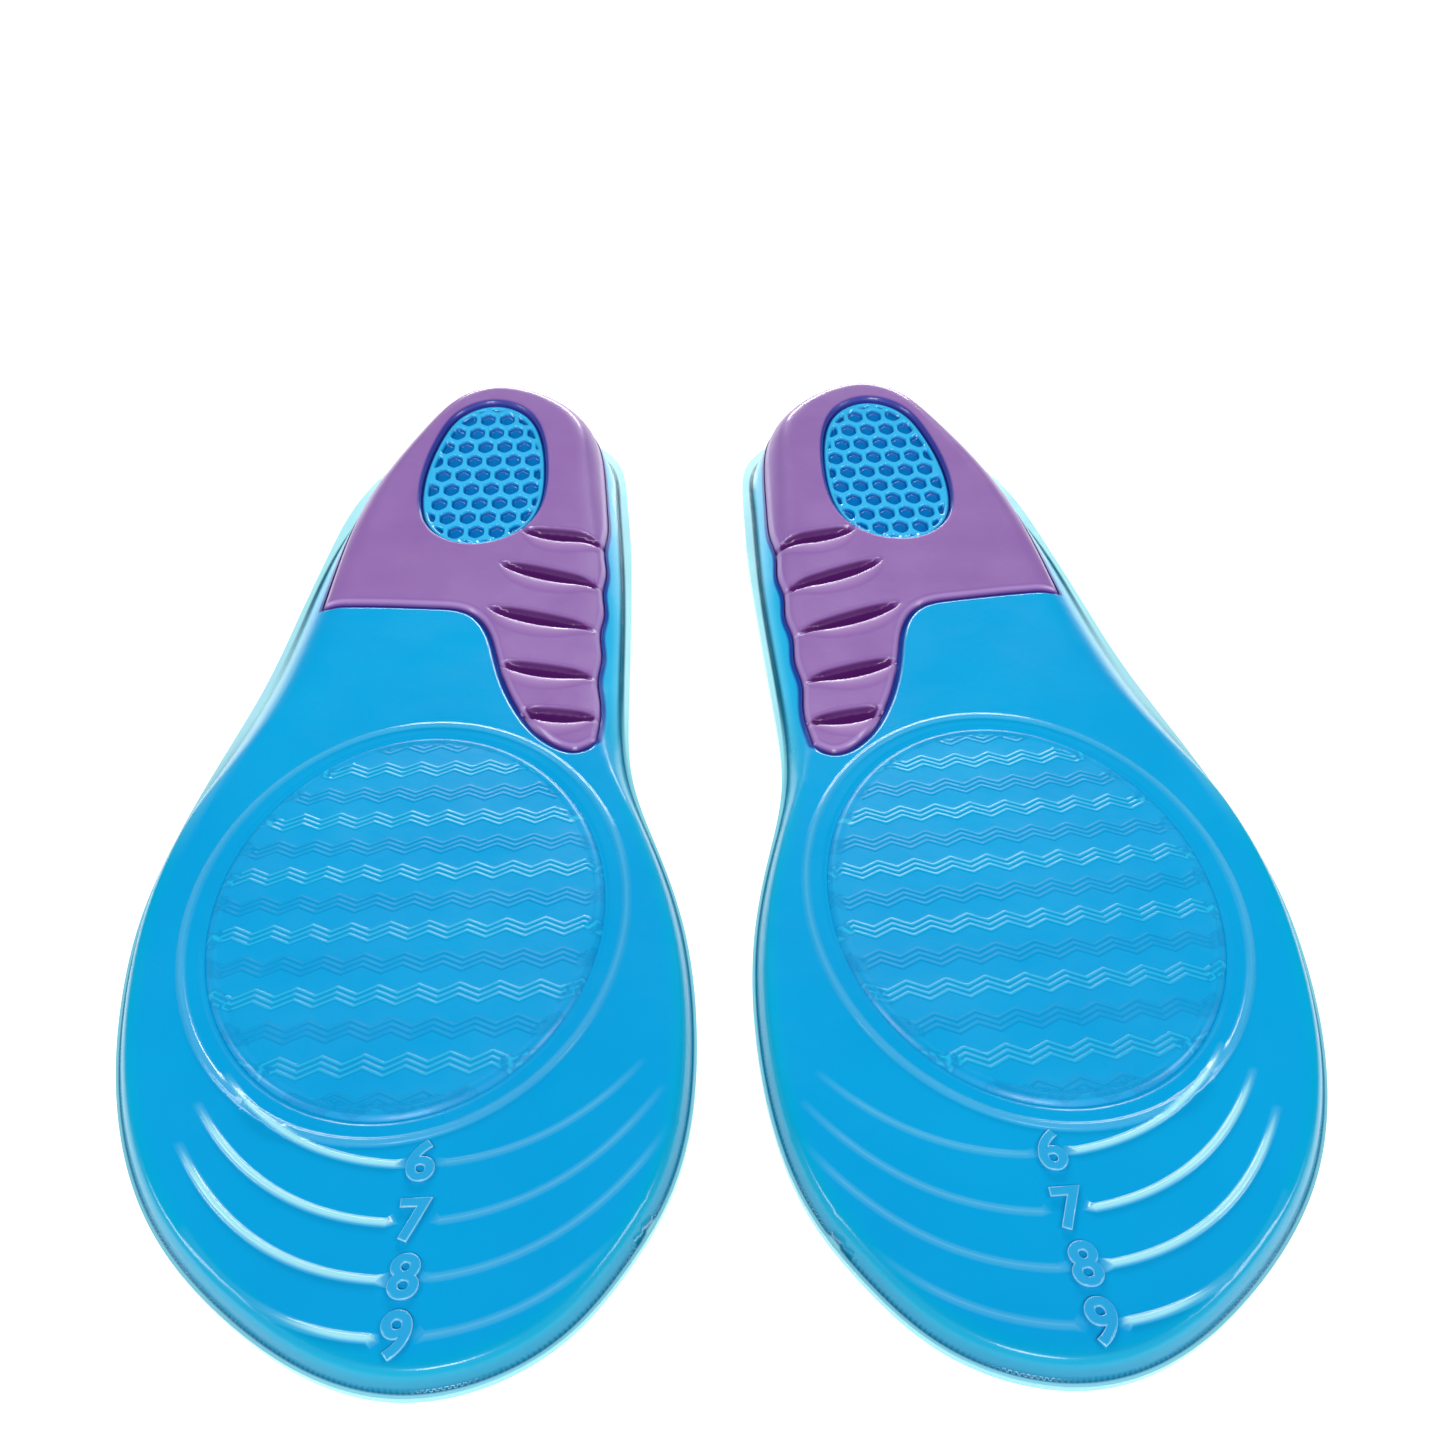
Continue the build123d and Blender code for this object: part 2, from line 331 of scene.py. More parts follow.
TRIMS = trim_lines()


# ---- heights ----------------------------------------------------------------------------
def bump(part):
    """1 at 0, falling smoothly to 0 at -1 and 1."""
    return np.clip(1.0 - part**2, 0.0, None) ** 2


def shoulder(part, power=SHOULDER_POWER):
    """0 at 0, rising steeply and levelling off to 1 at 1."""
    return 1.0 - (1.0 - np.clip(part, 0.0, 1.0)) ** power


def edge_change(station):
    """0 where the heel's edge is, 1 where the forefoot's edge is."""
    part = np.clip((station - EDGE_CHANGE[0]) / (EDGE_CHANGE[1] - EDGE_CHANGE[0]), 0.0, 1.0)
    return part * part * (3.0 - 2.0 * part)


def sole_height(plan, sink=0.0):
    """Height of the sole side, moved in by sink."""
    wall, station = depth_in(plan, WALL), -plan[:, 1]
    fore = edge_change(station)
    lip = RIM_LIP + fore * (FORE_LIP - RIM_LIP)
    width = HEEL_SHOULDER + fore * (FORE_SHOULDER - HEEL_SHOULDER)
    rise = HEEL_RISE * np.exp(-((np.maximum(station, 0.0) / RISE_LENGTH) ** RISE_POWER))
    return lip + (FORE_HEIGHT + rise - lip) * shoulder((wall - sink) / width) - sink


def cup_height(plan, sink=0.0):
    """Height of the heel hollow on the foot side, moved in by sink."""
    wall, station = depth_in(plan, WALL), -plan[:, 1]
    depth = CUP_DEPTH * np.exp(-((np.maximum(station, 0.0) / CUP_LENGTH) ** CUP_POWER))
    step = shoulder((wall - sink - CUP_WALL) / CUP_SHOULDER)
    start = COVER_THICKNESS - CUP_LIFT
    return np.maximum(start + (depth + CUP_LIFT) * step, COVER_THICKNESS) - sink


def flute_shape(points):
    """Depth of the five flutes, and the height of the lip on their toe side."""
    dip, lip = np.zeros(len(points)), np.zeros(len(points))
    for outer, inner in FLUTES:
        start, run = np.array(outer, float), np.array(inner, float) - np.array(outer, float)
        length = np.linalg.norm(run)
        along = np.clip(((points - start) @ run) / length**2, 0.0, 1.0)
        across = ((points - start) @ np.array([run[1], -run[0]])) / length
        swell = np.sin(math.pi * along ** 1.15)
        half = FLUTE_HALF_WIDTH * np.sqrt(np.clip(swell, 0.0, 1.0)) + 0.01
        part = (across - 0.5 * swell) / half
        cut = np.clip((1.0 - np.abs(part)) / 0.5, 0.0, 1.0)
        cut = cut * cut * (3.0 - 2.0 * cut)
        dip = np.maximum(dip, FLUTE_DEPTH * np.clip(1.6 * swell, 0.0, 1.0) * cut)
        lip = np.maximum(lip, FLUTE_LIP * np.clip(1.6 * swell, 0, 1) * bump((part - 1.5) / 0.9))
    return dip, lip


def near_flute(points, reach):
    """Whether a flute or its lip is within reach of each point, along or across it."""
    moves = ((0.0, 0.0), (reach, 0.0), (-reach, 0.0), (0.0, reach), (0.0, -reach))
    return sum(sum(flute_shape(points + move)) for move in moves) > 0.004


def rib_line(row, x):
    """y of the crest of a zigzag rib."""
    middle = PAD_CENTRE[1] + RIB_SPACING * (row - (RIB_ROWS - 1) / 2)
    phase = x / RIB_PERIOD + 0.5 * (row % 2)
    return middle + RIB_SWING * (np.abs(2.0 * (phase - np.floor(phase)) - 1.0) * 2.0 - 1.0)


def rib_height(points):
    """Height of the zigzag ribs on the pad."""
    height = np.zeros(len(points))
    for row in range(RIB_ROWS):
        off = points[:, 1] - rib_line(row, points[:, 0])
        crest = sum(bump((off - place) / RIB_HALF_WIDTH) for place in RIB_CRESTS)
        share = 1.0 if row % 2 else RIB_FAINT
        height = np.maximum(height, RIB_HEIGHT * share * crest)
    return height


def hex_centres():
    """Centres of the honeycomb cells."""
    centres = []
    for row in range(-6, 7):
        for place in range(-4, 5):
            x = HEX_CENTRE[0] + HEX_PITCH * (place + 0.5 * (row % 2))
            centres.append((x, HEX_CENTRE[1] + HEX_ROW * row))
    return np.array(centres)


HEX_STRETCH = HEX_ROW / (HEX_PITCH * math.sqrt(3.0) / 2.0)
HEX_HALF = (HEX_PITCH - HEX_WALL) / 2.0   # centre of a cell to its side


def cell_depth(points):
    """0 on the walls between the cells, 1 on the floor of a cell."""
    centres = hex_centres()
    depth = np.zeros(len(points))
    for first in range(0, len(points), 4096):
        gap = points[first:first + 4096, None] - centres[None]
        gap[..., 1] /= HEX_STRETCH
        sides = [gap @ np.array([math.cos(a), math.sin(a)]) for a in np.radians((0, 60, 120))]
        reach = 0.55 * np.abs(np.stack(sides)).max(0) + 0.43 * np.linalg.norm(gap, axis=2)
        depth[first:first + 4096] = np.clip((HEX_HALF - reach.min(1)) / 0.7, 0.0, 1.0)
    return depth * depth * (3.0 - 2.0 * depth)


# ---- meshes -----------------------------------------------------------------------------
def lattice(loop, spacing, clear=0.7):
    """Evenly spaced points inside a loop, clear of it."""
    low, high = loop.min(0), loop.max(0)
    rows = np.arange(low[1], high[1], spacing * math.sqrt(3.0) / 2.0)
    points = []
    for i, y in enumerate(rows):
        xs = np.arange(low[0] + 0.5 * spacing * (i % 2), high[0], spacing)
        points.append(np.stack([xs, np.full(len(xs), y)], axis=1))
    points = np.concatenate(points)
    return points[depth_in(points, loop) > clear * spacing]


def away_from(points, lines, clear, closed=True):
    """The points at least clear of every line."""
    for line in lines:
        points = points[distance_to(points, line, closed) > clear]
    return points


def enclosed(points, loop):
    """Whether each point lies inside a closed line."""
    x1, y1 = loop[:, 0], loop[:, 1]
    x2, y2 = np.roll(x1, -1), np.roll(y1, -1)
    slope = (x2 - x1) / np.where(y2 == y1, 1.0, y2 - y1)
    found = np.zeros(len(points), bool)
    for first in range(0, len(points), 8192):
        px = points[first:first + 8192, 0, None]
        py = points[first:first + 8192, 1, None]
        crosses = ((y1 > py) != (y2 > py)) & (px < (py - y1) * slope + x1)
        found[first:first + 8192] = crosses.sum(1) % 2 == 1
    return found


def triangulated(loops, points):
    """Triangles over the area between the loops, with the points as corners."""
    corners, edges = [], []
    for loop in loops:
        first, n = len(corners), len(loop)
        corners.extend(loop)
        edges.extend((first + i, first + (i + 1) % n) for i in range(n))
    corners.extend(points)
    found = delaunay_2d_cdt([Vector(c) for c in corners], edges, [], 1, 1e-5, False)
    plan = np.array([tuple(v) for v in found[0]])
    faces = np.array([f for f in found[2]])
    middles = plan[faces].mean(1)
    keep = enclosed(middles, loops[0])
    for hole in loops[1:]:
        keep &= ~enclosed(middles, hole)
    return plan, faces[keep]


def slopes(plan, height):
    """Unit normals of a height field."""
    step, limit = 0.05, 2.5
    sides = []
    for way in ((step, 0.0), (0.0, step)):
        sides.append((height(plan + way) - height(plan - np.array(way))) / (2.0 * step))
    normal = np.stack([-np.clip(sides[0], -limit, limit), -np.clip(sides[1], -limit, limit),
                       np.ones(len(plan))], axis=1)
    return normal / np.linalg.norm(normal, axis=1)[:, None]


def relief(loops, points, top, bottom, marks):
    """Closed solid between two heights over a plan area, with values stored on its points."""
    plan, faces = triangulated(loops, points)
    used, faces = np.unique(faces, return_inverse=True)
    plan, faces = plan[used], faces.reshape(-1, 3)
    high, low = top(plan), bottom(plan)
    n = len(plan)
    sides = np.concatenate([faces[:, [0, 1]], faces[:, [1, 2]], faces[:, [2, 0]]])
    keys = {(a, b) for a, b in sides.tolist()}
    walls = np.array([(b, a, a + n, b + n) for a, b in sorted(keys) if (b, a) not in keys])
    out = np.zeros((n, 3))
    for b, a in walls[:, :2]:
        run = plan[b] - plan[a]
        out[a] += (run[1], -run[0], 0.0)
        out[b] += (run[1], -run[0], 0.0)
    out /= np.maximum(np.linalg.norm(out, axis=1), 1e-9)[:, None]
    under = faces[:, ::-1]
    return {
        "points": np.concatenate([np.c_[plan, high], np.c_[plan, np.minimum(low, high - 0.05)]]),
        "faces": [faces, under + n, walls],
        "normals": [slopes(plan, top)[faces], -slopes(plan, bottom)[under], out[walls % n]],
        "marks": {name: np.tile(values, 2) for name, values in marks(plan).items()},
    }


def placement(side):
    """Turn and move from the insole frame to the pair frame, from the CAD cover's box."""
    turn = math.radians(YAW[side])
    spin = np.array([[math.cos(turn), math.sin(turn)], [-math.sin(turn), math.cos(turn)]])
    rim = (RIM * (SIDES[side], 1.0)) @ spin
    low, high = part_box(side + "_top_cover")
    middle = np.array([(low.x + high.x) / 2, (low.y + high.y) / 2]) / MM
    return spin, middle - (rim.min(0) + rim.max(0)) / 2


def placed(points, side):
    """Points of the insole frame, in metres in the pair frame."""
    spin, shift = placement(side)
    plan = (points[:, :2] * (SIDES[side], 1.0)) @ spin + shift
    return np.c_[plan, points[:, 2]] * MM


def add_piece(name, side, shape, material):
    """One piece of one insole, in place of its CAD node."""
    node = f"{side}_{name}"
    mirror = SIDES[side] < 0
    spin = placement(side)[0]
    faces, normals = [], []
    for group, bent in zip(shape["faces"], shape["normals"]):
        if mirror:
            group, bent = group[:, ::-1], bent[:, ::-1]
        faces.extend(group.tolist())
        bent = bent.reshape(-1, 3)
        normals.append(np.c_[(bent[:, :2] * (SIDES[side], 1.0)) @ spin, bent[:, 2]])
    mesh = bpy.data.meshes.new(node + "_form")
    mesh.from_pydata(placed(shape["points"], side).tolist(), [], faces)
    mesh.polygons.foreach_set("use_smooth", np.ones(len(mesh.polygons), bool))
    mesh.normals_split_custom_set(np.concatenate(normals).tolist())
    for mark, values in shape["marks"].items():
        layer = mesh.attributes.new(mark, "FLOAT", "POINT")
        layer.data.foreach_set("value", values.astype(np.float32))
    piece = bpy.data.objects.new(node + "_form", mesh)
    bpy.context.scene.collection.objects.link(piece)
    mesh.materials.append(material)
    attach(piece, side + "_insole")
    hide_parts(node)
    return piece


# ---- the five pieces of an insole --------------------------------------------------------
def trim_height(plan):
    """Height of the toe trim ridges, which run out at their outer ends."""
    height = np.zeros(len(plan))
    for number, line in enumerate(TRIMS):
        found, _, step = nearest(plan, line, False)
        left = np.linalg.norm(np.diff(line, axis=0), axis=1)[::-1].cumsum()[::-1]
        left = np.r_[left, 0.0][step]
        taper = np.clip(left / TRIM_TAPER, 0.0, 1.0) ** 0.7 * (TRIM_FAINT if number % 2 else 1.0)
        height = np.maximum(height, TRIM_HEIGHT * taper * bump(found / TRIM_HALF_WIDTH))
    return height * np.clip((depth_in(plan, WALL) - 2.0) / 2.0, 0.0, 1.0)


def gel_top(plan):
    """Sole side of the gel: trim ridges, pad ring, seam, and pockets for the inserts."""
    surface = sole_height(plan)
    surface += RING_HEIGHT * bump(distance_to(plan, RING) / RING_WIDTH) + trim_height(plan)
    in_shell, in_pad = depth_in(plan, SHELL), depth_in(plan, PAD)
    on_top = np.clip((depth_in(plan, WALL) - 5.0) / 2.0, 0.0, 1.0)
    surface -= SEAM_DEPTH * on_top * bump(in_shell / SEAM_WIDTH) + 0.3 * bump(in_pad / 1.2)
    shell_floor = np.maximum(sole_height(plan, SHELL_THICKNESS), SHELL_LOW) - FLOAT
    surface = np.where(in_shell > 0.08, np.minimum(shell_floor, surface), surface)
    window_floor = sole_height(plan, CUSHION_DEPTH) - FLOAT
    surface = np.where(depth_in(plan, WINDOW) > 0.08, window_floor, surface)
    return np.where(in_pad > 0.08, sole_height(plan, PAD_DEPTH) - FLOAT, surface)


def pale_sheen_share(plan):
    """Milky part of the edge on the outer side of the arch, partly where the gel thins out and
    partly a painted highlight on its wall.
    """
    station, wall = -plan[:, 1], depth_in(plan, WALL)
    reach = bump((station - 122.0) / 48.0) * (plan[:, 0] > 0.0)
    return reach * np.clip(1.0 - wall / 4.5, 0.0, 1.0)


def cup_rings():
    """Points down the side of the heel cup, shared by the gel and the cover that lies on it."""
    rings = [resampled(np.r_[loop, loop[:1]], 1.2, True) for loop in (
        inset(WALL, CUP_WALL + part * CUP_SHOULDER)
        for part in (0.0, 0.06, 0.13, 0.22, 0.32, 0.44, 0.58, 0.74, 0.9, 1.05))]
    rings = np.concatenate(rings)
    return rings[(rings[:, 1] > -CUP_REACH) & (depth_in(rings, RIM) > COVER_INSET + 0.3)]


# Points of the gel mesh. Rings that follow the rim, as their depth and spacing, give way to
# closer rings round the foot of the wall, and both keep clear of the lines along the seam.
RIM_RINGS = [
    (0.3, 0.9), (0.5, 1.0), (0.7, 1.0), (1.1, 1.0), (1.6, 1.1), (2.2, 1.2), (2.9, 1.2),
    (3.6, 1.3), (4.4, 1.4), (5.4, 1.5), (6.6, 1.6), (8.2, 1.8), (10.2, 2.0), (12.4, 2.2),
]
FOOT_RINGS = (-0.5, -0.25, -0.08, 0.08, 0.3, 0.6, 1.0, 1.5, 2.1, 2.8)
FOOT_BAND = (-0.75, 3.3)
FOOT_SPACING = 0.8
SEAM_CLEAR = 1.9                          # how far the points keep outside the seams
INSIDE_CLEAR = 0.5                        # and how far under the shell, where nothing shows
RIM_CLEAR = 0.25
FIELD_SPACING = 2.0                       # even points over the middle
FIELD_START = 13.5


def gel_rings():
    """Points along the edges of the gel and down its heel cup."""
    rings = [resampled(np.r_[loop, loop[:1]], step, True)
             for loop, step in ((inset(RIM, depth), step) for depth, step in RIM_RINGS)]
    rings = np.concatenate(rings)
    past_foot = depth_in(rings, WALL)
    rings = rings[(past_foot < FOOT_BAND[0]) | (past_foot > FOOT_BAND[1])]
    foot = [resampled(np.r_[loop, loop[:1]], FOOT_SPACING, True)
            for loop in (inset(WALL, offset) for offset in FOOT_RINGS)]
    rings = np.concatenate([rings] + foot)
    rings = rings[(rings[:, 1] < -CUP_REACH) | (depth_in(rings, SHELL) < -SEAM_CLEAR)]
    rings = np.concatenate([rings, cup_rings()])
    in_shell, in_window = depth_in(rings, SHELL), depth_in(rings, WINDOW)
    clear = (np.abs(in_shell) > INSIDE_CLEAR) & (np.abs(in_window) > INSIDE_CLEAR)
    clear &= (in_shell > 0.0) | (in_shell < -SEAM_CLEAR)
    rings = rings[clear & (depth_in(rings, RIM) > RIM_CLEAR)]
    return away_from(rings, TRIMS, 1.5, False)


def gel_base():
    rings = gel_rings()
    trims = [beside(line, offset, False)
             for line in TRIMS for offset in (-1.25, -0.85, -0.42, 0, 0.42, 0.85, 1.25)]
    seams = [inset(SHELL, offset) for offset in (0.15, 0.0, -0.5, -1.0, -1.6)]
    circles = [inset(RING, offset) for offset in (-1.4, -1.0, -0.5, 0.0, 0.5, 1.0, 1.4)]
    circles += [inset(PAD, offset) for offset in (0.15, 0.0, -0.6, -1.2)]
    points = [rings] + [line[depth_in(line, RIM) > 0.3] for line in seams + circles]
    points += [inset(WINDOW, offset) for offset in (0.15, 0.0)]
    points += [line[depth_in(line, RIM) > 1.2] for line in trims]
    field = lattice(RIM, FIELD_SPACING)
    field = field[depth_in(field, RIM) > FIELD_START]
    field = away_from(field, [SHELL, RING, PAD, WINDOW], SEAM_CLEAR)
    points.append(away_from(field, TRIMS, 1.6, False))

    def marks(plan):
        # where the painted highlight falls: full on the trim-line crests, faint along the pad
        # ring
        ridge_highlight = np.maximum(trim_height(plan) / TRIM_HEIGHT,
                           0.3 * bump(distance_to(plan, RING) / RING_WIDTH))
        # seam: distance from the shell's edge, scaled by the wall's steepness; it places a
        # painted shade line along the seam
        steep = 1.0 / slopes(plan, sole_height)[:, 2]
        seam = np.minimum(np.abs(depth_in(plan, SHELL)) * steep, 9.0)
        return {"wall": depth_in(plan, WALL), "station": -plan[:, 1], "ridge_highlight": ridge_highlight,
                "seam": seam, "pale": pale_sheen_share(plan)}

    def bottom(plan):
        wrapped = depth_in(plan, RIM) < COVER_INSET
        return np.where(wrapped, FLOAT, cup_height(plan) + FLOAT)

    return relief([RIM], np.concatenate(points), gel_top, bottom, marks)


def shell_top(plan):
    """Sole side of the arch shell: rounded edges and flutes."""
    outer, inner = depth_in(plan, SHELL), -depth_in(plan, WINDOW)
    proud = SHELL_PROUD - SHELL_DROP * (1.0 - shoulder(outer / SHELL_ROUNDING, 2.0))
    proud -= WINDOW_DROP * (1.0 - shoulder(inner / WINDOW_ROUNDING, 2.0))
    dip, lip = flute_shape(plan)
    return sole_height(plan) + proud - dip + lip


def arch_support():
    loops = [inset(SHELL, 0.05), inset(WINDOW, -0.05)]
    points = [inset(SHELL, offset) for offset in (0.35, 0.8, 1.4, 2.0)]
    points += [inset(WINDOW, -offset) for offset in (0.35, 0.8, 1.4, 2.0)]
    field = lattice(SHELL, 1.1)
    fine = lattice(SHELL, 0.45)
    field = np.concatenate([field[~near_flute(field, 0.8)], fine[near_flute(fine, 0.9)]])
    field = field[depth_in(field, WINDOW) < -2.4]
    points.append(field[depth_in(field, SHELL) > 2.4])

    def bottom(plan):
        return np.maximum(sole_height(plan, SHELL_THICKNESS), SHELL_LOW)

    def marks(plan):
        dip, lip = flute_shape(plan)
        return {"edge": depth_in(plan, SHELL), "frame": -depth_in(plan, WINDOW),
                "flute": dip / FLUTE_DEPTH, "lip": lip / FLUTE_LIP}

    return relief(loops, np.concatenate(points), shell_top, bottom, marks)


def cushion_cells(plan):
    """How deep in a cell each point is, with none in the border."""
    edge = depth_in(plan, WINDOW)
    return cell_depth(plan) * np.clip((edge - HEX_BORDER) / 0.5, 0.0, 1.0)


def cushion_top(plan):
    """Sole side of the heel cushion, with its honeycomb pits."""
    edge = depth_in(plan, WINDOW)
    rounding = 0.5 * (1.0 - shoulder(edge / 0.9, 2.0))
    return sole_height(plan) - CUSHION_RECESS - rounding - HEX_DEPTH * cushion_cells(plan)


HEX_RINGS = (0.25, 0.0, -0.22, -0.45, -0.72)        # rings of points round a cell's edge


def heel_cushion():
    loop = inset(WINDOW, 0.05)
    points = [inset(WINDOW, offset) for offset in (0.3, 0.6, 0.95, 1.35, 1.85)]
    corners = []
    for x, y in hex_centres():
        for reach in (HEX_HALF + growth for growth in HEX_RINGS):
            angle = np.radians(np.arange(0, 361, 5))
            across = np.abs(np.cos(np.radians((np.degrees(angle) + 30) % 60 - 30)))
            radius = reach / (0.55 * across + 0.43)
            ring = np.stack([x + radius * np.cos(angle),
                             y + HEX_STRETCH * radius * np.sin(angle)], axis=1)
            corners.append(resampled(ring, 0.5, True))
        corners.append(np.array([[x, y]]))
    corners = np.concatenate(corners)
    points.append(corners[depth_in(corners, WINDOW) > 2.1])

    def bottom(plan):
        return sole_height(plan, CUSHION_DEPTH)

    def marks(plan):
        return {"cell": cushion_cells(plan), "edge": depth_in(plan, WINDOW)}

    return relief([loop], np.concatenate(points), cushion_top, bottom, marks)


def pad_top(plan):
    """Sole side of the ball pad: rounded edge, bead and ribs."""
    edge = depth_in(plan, PAD)
    proud = PAD_PROUD - PAD_DROP * (1.0 - shoulder(edge / PAD_ROUNDING, 2.0))
    bead = BEAD_HEIGHT * bump((edge - BEAD_PLACE) / BEAD_WIDTH)
    ribs = rib_height(plan) * np.clip((edge - RIB_START) / 1.0, 0, 1)
    return sole_height(plan) + proud + bead + ribs


def ball_cushion():
    loop = inset(PAD, 0.05)
    points = [inset(PAD, offset) for offset in (0.4, 0.8, 1.3, 1.8, 2.4)]
    ribs = []
    for row in range(RIB_ROWS):
        x = PAD_CENTRE[0] + np.arange(-36.0, 36.01, RIB_PERIOD / 12.0)
        for offset in np.arange(-1.73, 1.74, 0.2875):
            ribs.append(np.stack([x, rib_line(row, x) + offset], axis=1))
        ribs.append(np.stack([x[::3], rib_line(row, x[::3]) + RIB_SPACING / 2], axis=1))
    ribs = np.concatenate(ribs)
    points.append(ribs[depth_in(ribs, PAD) > 2.7])

    def bottom(plan):
        return sole_height(plan, PAD_DEPTH)

    def marks(plan):
        return {"rib": rib_height(plan) / RIB_HEIGHT, "edge": depth_in(plan, PAD)}

    return relief([loop], np.concatenate(points), pad_top, bottom, marks)


def top_cover():
    outline = inset(RIM, COVER_INSET)
    depths = (1.2, 2.4, 3.6, 4.4, 5.4, 6.6, 8.2, 10.2, 12.6)
    rings = [resampled(np.r_[loop, loop[:1]], 1.6, True)
             for loop in (inset(RIM, depth) for depth in depths)]
    rings = np.concatenate(rings)
    rings = rings[rings[:, 1] < -CUP_REACH]
    field = lattice(RIM, 2.6)
    points = np.concatenate([rings, cup_rings(), field[depth_in(field, RIM) > 14.0]])

    def bottom(plan):
        return cup_height(plan, COVER_THICKNESS)

    def marks(plan):
        return {"rim": depth_in(plan, RIM)}

    return relief([outline], points, cup_height, bottom, marks)


# ---- materials ---------------------------------------------------------------------------
def new_material(name):
    """A node material and what is needed to edit it."""
    material = bpy.data.materials.new(name)
    material.use_nodes = True
    nodes, links = material.node_tree.nodes, material.node_tree.links
    return material, nodes, links, nodes["Principled BSDF"]


def mark_value(nodes, name):
    """Value that the mesh stores on its points."""
    node = nodes.new("ShaderNodeAttribute")
    node.attribute_name = name
    return node.outputs["Fac"]


def span(nodes, links, value, reach, result=(0.0, 1.0)):
    """Value that runs between two results while another runs over its reach."""
    node = nodes.new("ShaderNodeMapRange")
    node.inputs["From Min"].default_value, node.inputs["From Max"].default_value = reach
    node.inputs["To Min"].default_value, node.inputs["To Max"].default_value = result
    links.new(value, node.inputs["Value"])
    return node.outputs["Result"]


def ramp(nodes, links, value, low, high, stops):
    """Colour ramp over a value from low to high."""
    part = span(nodes, links, value, (low, high))
    node = nodes.new("ShaderNodeValToRGB")
    while len(node.color_ramp.elements) < len(stops):
        node.color_ramp.elements.new(0.5)
    for element, (place, colour) in zip(node.color_ramp.elements, stops):
        element.position = (place - low) / (high - low)
        element.color = (*colour, 1.0)
    links.new(part, node.inputs["Fac"])
    return node.outputs["Color"]


def mixed(nodes, links, share, first, second, kind="MIX"):
    """Blend of two colours, each a colour or a socket."""
    node = nodes.new("ShaderNodeMix")
    node.data_type = "RGBA"
    node.blend_type = kind
    for place, value in ((0, share), (6, first), (7, second)):
        socket = node.inputs[place]
        if isinstance(value, bpy.types.NodeSocket):
            links.new(value, socket)
        elif isinstance(value, tuple):
            socket.default_value = (*value, 1.0)
        else:
            socket.default_value = value
    return node.outputs[2]


def noise(nodes, links, scale, detail=3.0):
    """Noise fixed to the object."""
    place = nodes.new("ShaderNodeTexCoord")
    node = nodes.new("ShaderNodeTexNoise")
    node.inputs["Scale"].default_value = scale
    node.inputs["Detail"].default_value = detail
    links.new(place.outputs["Object"], node.inputs["Vector"])
    return node.outputs["Fac"]


def add_bump(nodes, links, shader, height, strength, distance):
    """Fine relief from a height."""
    node = nodes.new("ShaderNodeBump")
    node.inputs["Strength"].default_value = strength
    node.inputs["Distance"].default_value = distance
    links.new(height, node.inputs["Height"])
    links.new(node.outputs["Normal"], shader.inputs["Normal"])


def finish_gel(nodes, links, shader, roughness, coat=0.4):
    """Wet-looking soft gel: faint ripples, uneven gloss, a clear skin."""
    uneven = ramp(nodes, links, noise(nodes, links, 90.0), 0.1, 0.9,
                  shares((0.1, roughness * 0.7), (0.9, roughness * 1.4)))
    links.new(uneven, shader.inputs["Roughness"])
    add_bump(nodes, links, shader, noise(nodes, links, 260.0, 2.0), 0.12, 0.0006)
    shader.inputs["IOR"].default_value = 1.38
    shader.inputs["Coat Weight"].default_value = coat
    shader.inputs["Coat Roughness"].default_value = 0.07


AZURE = (0.0012, 0.355, 0.745)
# pale azure: painted highlight part way up the heel's wall
AZURE_WALL_HIGHLIGHT = (0.02, 0.46, 0.82)
SKIRT_PALE = (0.42, 0.80, 0.92)
# bright cyan: painted highlight low on the heel's wall
WALL_HIGHLIGHT_CYAN = (0.09, 0.56, 0.88)
# dark teal: painted shade in the crease at the foot of the heel's wall
FOOT_SHADE_TEAL = (0.002, 0.12, 0.21)
# dark blues: painted shade down the honeycomb pits
CELL_SHADE = (0.0, 0.07, 0.33)
CELL_FLOOR_SHADE = (0.0, 0.19, 0.54)
WALL_PALE = (0.04, 0.47, 0.83)
# dark blue of painted shade in the grooves round the shell and the window
SEAM_SHADE_BLUE = (0.005, 0.05, 0.34)
PURPLE = (0.275, 0.14, 0.41)
# dark purple: painted shade down in the flutes
PURPLE_SHADE = (0.10, 0.012, 0.15)
# pale lilac: painted highlight on the shell's rounded edge
PURPLE_HIGHLIGHT = (0.42, 0.28, 0.60)


def shares(*stops):
    """Stops of a ramp that runs between grey levels."""
    return [(place, (share,) * 3) for place, share in stops]


def toe_tint(nodes, links):
    """The gel turns from a little greener at the arch to a deeper blue at the toes."""
    place, split = nodes.new("ShaderNodeTexCoord"), nodes.new("ShaderNodeSeparateXYZ")
    links.new(place.outputs["Object"], split.inputs["Vector"])
    return ramp(nodes, links, split.outputs["Y"], -0.13, 0.08, [
        (-0.12, (1.0, 0.92, 0.88)), (-0.02, (1.0, 0.99, 0.92)), (0.07, (1.0, 1.08, 0.98))])


